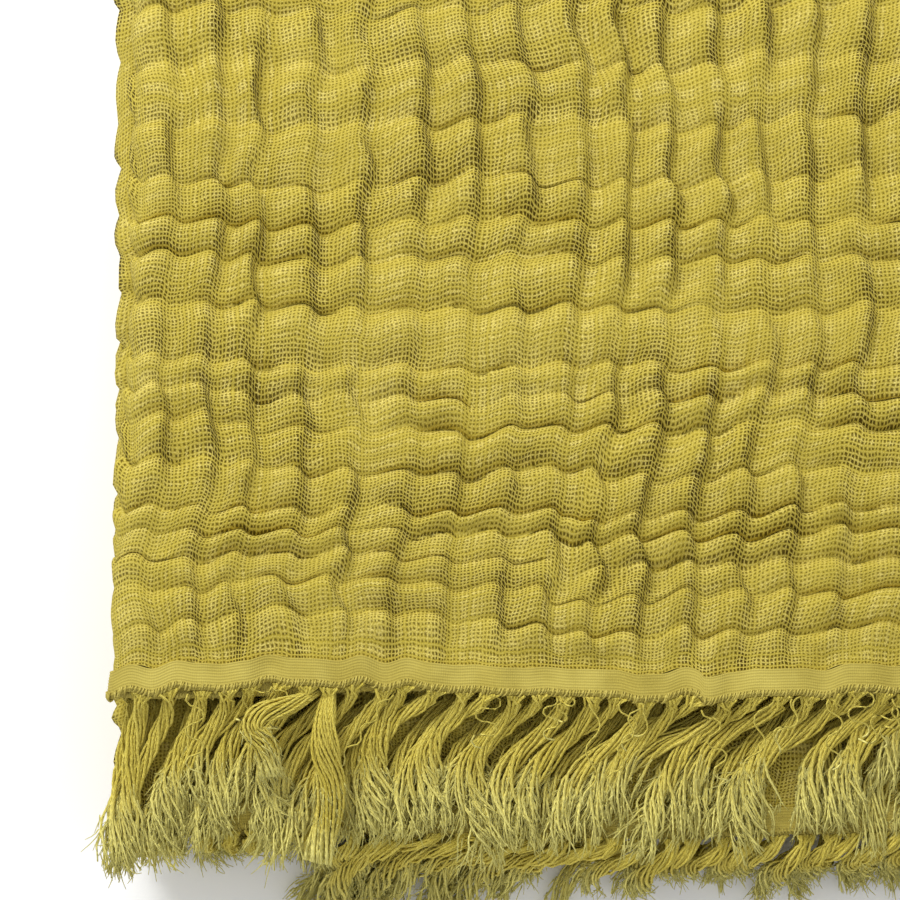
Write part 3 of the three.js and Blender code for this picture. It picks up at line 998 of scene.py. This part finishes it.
def locks(lower, first_u, last_u, steps, seed, per_lock, shift):
    """Paths of all the yarns whose roots lie between two places on the ribbon."""
    rng = np.random.default_rng(seed)
    fine_u = np.linspace(first_u, last_u, 400)
    fine_x = hem_point(fine_u, np.full(400, FRINGE_ROOT), np.zeros(400), lower)[:, 0]
    if fine_x[0] > fine_x[-1]:
        fine_u, fine_x = fine_u[::-1], fine_x[::-1]
    grid = GRID + shift
    own = np.flatnonzero((grid > fine_x.min() + 0.5) & (grid < fine_x.max() - 0.5))
    n = len(own)
    centres = np.interp(grid[own], fine_x, fine_u)
    u = np.repeat(centres, per_lock)
    k = np.tile(np.arange(per_lock), n)
    lock = np.repeat(np.arange(n), per_lock)
    spread_at_root = (k / (per_lock - 1) - 0.5) * LOCK_PITCH * 0.72
    beyond = np.full(len(u), FRINGE_ROOT)
    root = hem_point(u + spread_at_root, beyond, 0.35 * rng.normal(size=len(u)), lower)
    centre_root = hem_point(u, beyond, np.zeros(len(u)), lower)

    def each(values):
        return np.asarray(values)[lock][:, None]

    def habit(column):
        return HABIT[own, column] + 0.25 * rng.uniform(-1, 1, n)

    x_root = centre_root[:, 0][:, None]
    forward_share = np.exp(-((x_root - LEFT - FAN_PLACE) / FAN_WIDTH) ** 4)
    well_in = ease((x_root - LEFT - (46.0 if lower else 22.0)) / 28.0)
    length = each(rng.normal(48.0, 4.2, n)) + 5.0 * drift(x_root / 21.0, 0 * x_root, seed + 3)
    length *= rng.normal(1.0, 0.03, (len(u), 1))
    length *= (0.55 + 0.1 * well_in + 0.5 * forward_share) if lower else 1.0
    share_along = np.linspace(0, 1, steps)[None, :]
    d = share_along * length
    inboard = ease((x_root - LEFT + 4.0) / 34.0)
    sweep = 20 + 40 * forward_share if lower else 26
    sweep = sweep + 9 * drift(x_root / 46.0, 0 * x_root, 64) + each(11 * habit(0))
    lean = np.radians(3 + sweep * inboard)
    swing = np.radians(each(24 + 13 * habit(1))) * (0.25 + 0.75 * inboard)
    phase = each(0.1 + 0.7 * habit(2))
    heading = lean * ease(d / 10.0) + swing * np.sin(2 * math.pi * 0.8 * share_along + phase)
    heading += np.radians(rng.normal(0, 2.2, (len(u), 1))) * share_along ** 2 * 3
    rank = np.clip((centre_root[:, 2][:, None] - MIDDLE[2 if lower else 3]) / OUTER, -1, 1)
    step = np.diff(d, axis=1, prepend=0)
    path = np.zeros((len(u), steps, 3))
    path[:, 0] = centre_root
    pile = 4.6 * (rank * 0.5 + 0.5) + 0.6
    droop = each(rng.uniform(66, 78, n)) - 24 * forward_share
    droop = np.radians(droop * well_in + 87 * (1 - well_in))
    for i in range(1, steps):
        before = path[:, i - 1]
        settled = 0.55 if lower else 1 - 0.45 * share_along[:, i][:, None]
        rest = ground(before, lower)[:, None] + pile * settled
        over = before[:, 2][:, None] - rest
        if lower:
            down = droop * ease(d[:, i][:, None] / (9 + 9 * well_in)) * np.clip(over / 9.0, 0, 1)
        else:
            down = np.radians(38) * np.clip(over / 5.0, -0.6, 1)
        level = np.cos(down) * step[:, i][:, None]
        turn = heading[:, i][:, None]
        fall = -np.sin(down) * step[:, i][:, None]
        move = np.concatenate([-np.sin(turn) * level, -np.cos(turn) * level, fall], axis=1)
        path[:, i] = before + move
    radius = each(rng.uniform(1.9, 2.6, n))
    angle = k[:, None] * 2.4 + each(rng.uniform(0, 6.3, n)) + each(rng.normal(0.17, 0.04, n)) * d
    ring = np.sqrt((k[:, None] + 0.5) / per_lock)
    loose = 0.85 + 0.75 * ease((share_along - 0.35) / 0.55) + 0.1 * np.sin(5 * share_along + 6 * ring)
    gathered = ease(d / GATHER)
    across = radius * ring * loose * np.cos(angle)
    above = 0.62 * radius * ring * loose * np.sin(angle)
    forward = np.gradient(path, axis=1)
    forward /= np.linalg.norm(forward, axis=2, keepdims=True)
    side = np.stack([-np.cos(heading), np.sin(heading), 0 * heading], axis=-1)
    up = np.cross(side, forward)
    from_centre = root - centre_root
    paths = path + side * (across * gathered)[..., None] + up * (above * gathered)[..., None]
    paths += from_centre[:, None, :] * (1 - gathered)[..., None]
    stray = rng.normal(0, 0.45, (len(u), 1)) * ease((share_along - 0.35) / 0.65)
    wavelength = rng.uniform(9, 15, (len(u), 1))
    offset = rng.uniform(0, 6.3, (len(u), 1))
    crimp = 0.24 * np.sin(2 * math.pi * d / wavelength + offset)
    paths += side * (stray + crimp * gathered)[..., None]
    floor = ground(paths, lower) - (0.0 if lower else 0.3)
    paths[..., 2] = np.maximum(paths[..., 2], floor)
    radii = YARN_RADIUS * rng.normal(1, 0.1, (len(u), 1)) * (1 - 0.5 * ease((share_along - 0.7) / 0.3))
    tone = np.clip(0.5 + 0.22 * rng.normal(size=(len(u), 1)) + 0 * share_along, 0, 1)
    return paths, radii, tone, np.broadcast_to(share_along, tone.shape)


def tip_fluff(paths, per_yarn, seed):
    """Short fine fibres that come loose at the end of each yarn."""
    rng = np.random.default_rng(seed)
    yarn = np.repeat(np.arange(len(paths)), per_yarn)
    steps = paths.shape[1]
    place_on = rng.uniform(0.6, 0.98, len(yarn)) * (steps - 1)
    i = np.minimum(place_on.astype(int), steps - 2)
    part = (place_on - i)[:, None]
    start = paths[yarn, i] * (1 - part) + paths[yarn, i + 1] * part
    start += rng.normal(0, 0.55, start.shape) * [1, 1, 0.8]
    ahead = paths[yarn, i + 1] - paths[yarn, i]
    ahead /= np.linalg.norm(ahead, axis=1, keepdims=True)
    aim = ahead + rng.normal(0, 0.16, ahead.shape) * [1, 1, 0.4]
    aim /= np.linalg.norm(aim, axis=1, keepdims=True)
    bend = rng.normal(0, 0.2, ahead.shape) * [1, 1, 0.3]
    length = rng.uniform(2.2, 5.4, (len(yarn), 1))
    t = np.linspace(0, 1, 4)[None, :, None]
    fibres = start[:, None] + (aim[:, None] * t + bend[:, None] * t ** 2) * length[:, None]
    return fibres, 0.2 * (1 - 0.6 * t[..., 0]) * np.ones((len(yarn), 1))


def fluff(name, paths, per_yarn, seed):
    """The loose tips of one layer's fringe as one piece."""
    fibres, radii = tip_fluff(paths, per_yarn, seed)
    fibres[..., 2] = np.maximum(fibres[..., 2], FLOOR_REST)
    tone = np.full(radii.shape, 0.7)
    reference = np.broadcast_to(np.array([0.31, 0.23, 1.0]), fibres.shape)
    # painted highlight: the loose fibres take nearly the full pale tip colour
    piece = tubes(name, fibres, radii, reference, {"tone": tone, "tip": tone + 0.25}, fringe_yarn)
    return piece


def fringe(name, lower, first_u, last_u, steps, seed, per_lock=YARNS, shift=0.0):
    """One layer's fringe as one piece."""
    paths, radii, tone, tip = locks(lower, first_u, last_u, steps, seed, per_lock, shift)
    reference = np.broadcast_to(np.array([1.0, 0.13, 0.21]), paths.shape)
    piece = tubes(name, paths, radii, reference, {"tone": tone, "tip": tip}, fringe_yarn)
    return [piece, fluff(name + "_tips", paths, TIP_FIBRES, seed + 200)]


def smooth_path(knots, steps):
    """A smooth path through given knots, by Catmull and Rom's cubic."""
    p = np.concatenate([[2 * knots[0] - knots[1]], knots, [2 * knots[-1] - knots[-2]]])
    t = np.linspace(0, len(knots) - 1.0001, steps)
    i = t.astype(int)
    f = (t - i)[:, None]
    a, b, c, d = p[i], p[i + 1], p[i + 2], p[i + 3]
    square = (2 * a - 5 * b + 4 * c - d) * f ** 2
    cube = (3 * b - a - 3 * c + d) * f ** 3
    return 0.5 * (2 * b + (c - a) * f + square + cube)


def placed_lock(knots, half_width, yarns, steps, seed):
    """A rounded lock laid along knots given from the hem's left end: right, down the lock, up."""
    rng = np.random.default_rng(seed)
    start = np.array([LEFT, box_mm("top_overcast_edge")[0][1], 0.0])
    centre = smooth_path(np.array(knots, float) + start, steps)
    forward = np.gradient(centre, axis=0)
    forward /= np.linalg.norm(forward, axis=1, keepdims=True)
    side = np.cross(forward, [0, 0, 1.0])
    side /= np.linalg.norm(side, axis=1, keepdims=True)
    t = np.linspace(0, 1, steps)[None, :]
    k = np.arange(yarns)[:, None]
    ring = np.sqrt((k + 0.5) / yarns)
    angle = 2.4 * k + 3.2 * t
    body = half_width * (0.45 + 0.55 * ease(t * 2.2)) * ring
    across = body * np.cos(angle) + 0.2 * np.sin(2 * math.pi * (3 * t + rng.uniform(0, 1, (yarns, 1))))
    above = 0.55 * body * np.sin(angle)
    paths = centre[None] + side[None] * across[..., None] + np.array([0, 0, 1.0]) * above[..., None]
    radii = YARN_RADIUS * rng.normal(1, 0.08, (yarns, 1)) * np.ones((1, steps))
    tone = np.clip(0.55 + 0.2 * rng.normal(size=(yarns, 1)) + 0 * t, 0, 1)
    return paths, radii, tone, np.broadcast_to(t ** 3, tone.shape)


def curls(count, seed):
    """Single yarns that have slipped out of the locks and lie curled on top of them."""
    rng = np.random.default_rng(seed)
    u = rng.uniform(8, RUN - 6, count)
    root = hem_point(u, np.full(count, FRINGE_ROOT), np.full(count, 0.6), False)
    t = np.linspace(0, 1, 20)[None, :]
    length = rng.uniform(16, 38, (count, 1))
    wave = rng.uniform(9, 19, (count, 1))
    heading = rng.uniform(-0.2, 0.8, (count, 1)) + rng.uniform(0.7, 1.7, (count, 1)) * np.sin(
        2 * math.pi * t * length / wave + rng.uniform(0, 6.3, (count, 1)))
    step = length / 19
    x = root[:, :1] - np.cumsum(np.sin(heading) * step, axis=1)
    y = root[:, 1:2] - np.cumsum(np.cos(heading) * step, axis=1)
    z = root[:, 2:3] + 1.2 * np.sin(math.pi * t) - 2.4 * t
    paths = np.stack([x, y, z], axis=-1)
    return paths, 0.27 * np.ones_like(x), 0.8 * np.ones_like(x), t ** 2 * np.ones_like(x)


def placed_piece(name, made):
    """One piece from placed yarns."""
    paths, radii, tone, tip = made
    reference = np.broadcast_to(np.array([1.0, 0.13, 0.21]), paths.shape)
    piece = tubes(name, paths, radii, reference, {"tone": tone, "tip": tip}, fringe_yarn)
    return piece


BACK_TURNED = (
    (52.5, 2.2, 46.5), (44.0, -2.0, 50.5), (36.0, -5.0, 52.5),
    (33.4, -9.0, 53.2), (36.6, -14.0, 52), (38.0, -22.5, 49),
)
BLUNT = ((54.5, 3.0, 47.0), (53, -12, 51.5), (55, -26, 49.5), (51, -47, 45))
placed = {
    "top_fringe_back_turned_lock": placed_lock(BACK_TURNED, 3.4, 24, 20, 81),
    "top_fringe_blunt_lock": placed_lock(BLUNT, 4.0, 32, 20, 82),
    "top_fringe_curls": curls(22, 83),
}
placed_pieces = [placed_piece(name, made) for name, made in placed.items()]
laid_locks = np.concatenate([made[0] for made in list(placed.values())[:2]])
placed_pieces.append(fluff("top_fringe_placed_tips", laid_locks, TIP_FIBRES, 84))

top_fringes = [
    *placed_pieces,
    *fringe("top_fringe_face", False, 0.0, CUTS[2], 15, 61),
    *fringe("top_fringe_back", False, CUTS[2], CUTS[3], 11, 62, 12, -3.1),
    *fringe("top_fringe_inside", False, CUTS[3], WIDTH, 9, 63, 9, -1.2),
]
lower_fringes = [
    *fringe("lower_fringe_back", True, 0.0, CUTS[2], 11, 71, 12),
    *fringe("lower_fringe_face", True, CUTS[2], CUTS[3], 15, 72),
    *fringe("lower_fringe_inside", True, CUTS[3], WIDTH, 9, 73, 9),
]

# %% [markdown]
# ## Joining the pieces to the imported model
# Most pieces ride on an imported body, so they move with the joint; the inner back fold and the
# fringes stay where they were made. The imported nodes that the pieces stand for are hidden.

# %% Riding
UPPER = ("top_face", "top_under_layers", "upper_inner_cloth")
for name, piece in list(sheets.items()) + list(selvedges.items()):
    if name == "back_inner_fold_cloth":
        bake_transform(piece)
    else:
        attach(piece, "upper_half" if name in UPPER else "lower_half")
    if name == "back_outer_fold_cloth":
        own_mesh(piece)
for piece in (top_band, lower_band, top_whip, lower_whip):
    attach(piece, "upper_half")
fringe_rows = (
    (top_fringes, "top_fringe", "top_overcast_edge"),
    (lower_fringes, "lower_fringe", "lower_overcast_edge"),
)
for pieces, body, node in fringe_rows:
    for piece in pieces:
        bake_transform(piece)

# %% Hiding the imported parts that the pieces stand for
LOCK_NODES = 20
for name, node in (
    ("top_face", "top_panel"),
    ("top_under_layers", "top_panel"),
    ("back_outer_fold_cloth", "back_outer_fold"),
    ("bottom_cloth", "bottom_panel"),
    ("front_fold_cloth", "front_fold"),
    ("lower_inner_cloth", "lower_inner_panel"),
    ("back_inner_fold_cloth", "back_inner_fold"),
    ("upper_inner_cloth", "upper_inner_panel"),
):
    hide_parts(node)
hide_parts("top_hem_band")
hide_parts("lower_hem_band")
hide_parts("top_overcast_edge")
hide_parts("lower_overcast_edge")
for pieces, row in ((top_fringes, "top_fringe"), (lower_fringes, "lower_fringe")):
    nodes = [f"{row}_{k + 1:02d}" for k in range(LOCK_NODES)]
    for piece in pieces:
        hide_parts(*nodes)

# %% Counting the sheets
print("declared", len(sheets), "sheets")

# %% [markdown]
# ## Floor and light
# A plain white floor, a broad soft lamp from the upper left to model the creases, and an even
# white surround. The lamp is large, so shadows have no hard edge.

# %% Floor
FLOOR_SIZE = 6.0
FLOOR_DROP = 0.0004
bpy.ops.mesh.primitive_plane_add(size=FLOOR_SIZE, location=(0, 0, cad_low[2] - FLOOR_DROP))
floor = bpy.context.object
floor.name = "floor"
bpy.ops.object.transform_apply(location=True, rotation=False, scale=False)
floor_paint = bpy.data.materials.new("floor_paint")
floor_paint.use_nodes = True
floor_shader = floor_paint.node_tree.nodes["Principled BSDF"]
floor_shader.inputs["Base Color"].default_value = (0.96, 0.96, 0.96, 1)
floor_shader.inputs["Roughness"].default_value = 0.9
floor.data.materials.append(floor_paint)

# %% Lights
KEY_POWER = 19.0
KEY_SIZE = 0.7
KEY_PLACE = (-0.5, 0.95, 0.95)
KEY_AIM = (-0.05, -0.05, 0.03)
SURROUND = 0.72


def lamp(name, place_m, aim_m, size, power):
    """A square soft lamp pointed at a place."""
    data = bpy.data.lights.new(name, "AREA")
    data.energy = power
    data.size = size
    made = bpy.data.objects.new(name, data)
    made.location = place_m
    bpy.context.collection.objects.link(made)
    direction = Vector((np.array(aim_m) - np.array(place_m)).tolist())
    made.rotation_euler = direction.to_track_quat("-Z", "Y").to_euler()
    return made


lamp("key", KEY_PLACE, KEY_AIM, KEY_SIZE, KEY_POWER)
world = bpy.data.worlds.new("surround")
world.use_nodes = True
world.node_tree.nodes["Background"].inputs["Color"].default_value = (1, 1, 1, 1)
world.node_tree.nodes["Background"].inputs["Strength"].default_value = SURROUND
bpy.context.scene.world = world
bpy.context.scene.view_settings.view_transform = "Standard"
print("lit")
